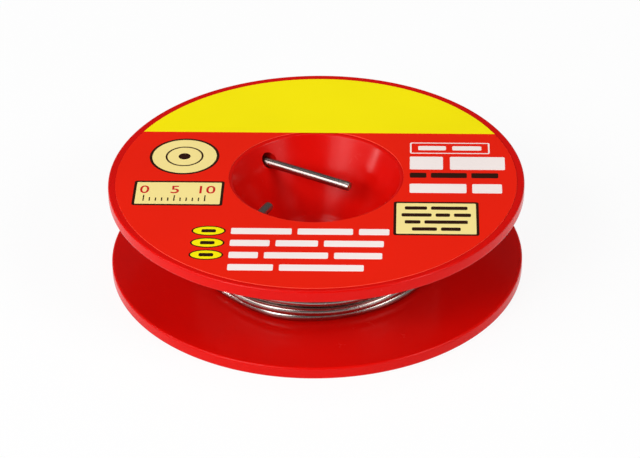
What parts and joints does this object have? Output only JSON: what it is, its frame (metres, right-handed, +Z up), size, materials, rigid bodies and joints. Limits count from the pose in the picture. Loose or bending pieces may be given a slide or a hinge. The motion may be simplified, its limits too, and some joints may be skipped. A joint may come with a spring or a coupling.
{
  "type": "solder wire spool",
  "caption": "Small two-part plastic spool with a cupped hub, carrying flux-cored solder wire wound between its flanges, with both wire ends tucked into the hub.",
  "frame": {"origin": "on the spool's axis, at the base that it stands on", "axes": "+Z up along the spool's axis; +X to the right and +Y to the back of the printed label"},
  "size_m": [0.065, 0.065, 0.0158],
  "materials": {
    "spool_plastic": "glossy moulded red plastic",
    "label_paper": "satin laminated sticker, red with a yellow panel",
    "solder": "bright drawn tin alloy",
    "flux": "amber resin"
  },
  "bodies": {
    "spool": {"upper_half": "spool_plastic", "lower_half": "spool_plastic", "top_label": "label_paper", "wire_inner_turns": "solder", "wire_outer_turns": "solder", "wire_start_end": "solder", "flux_core_start_end": "flux"},
    "free_end": {"wire_free_end": "solder", "flux_core_free_end": "flux"}
  },
  "joints": [
    {"name": "free_end_lift", "type": "hinge", "parent": "spool", "child": "free_end", "pos_m": [-0.00726, 0.00916, 0.01285], "axis": [-0.518, -0.8554, 0], "range_deg": [0, 60]}
  ]
}
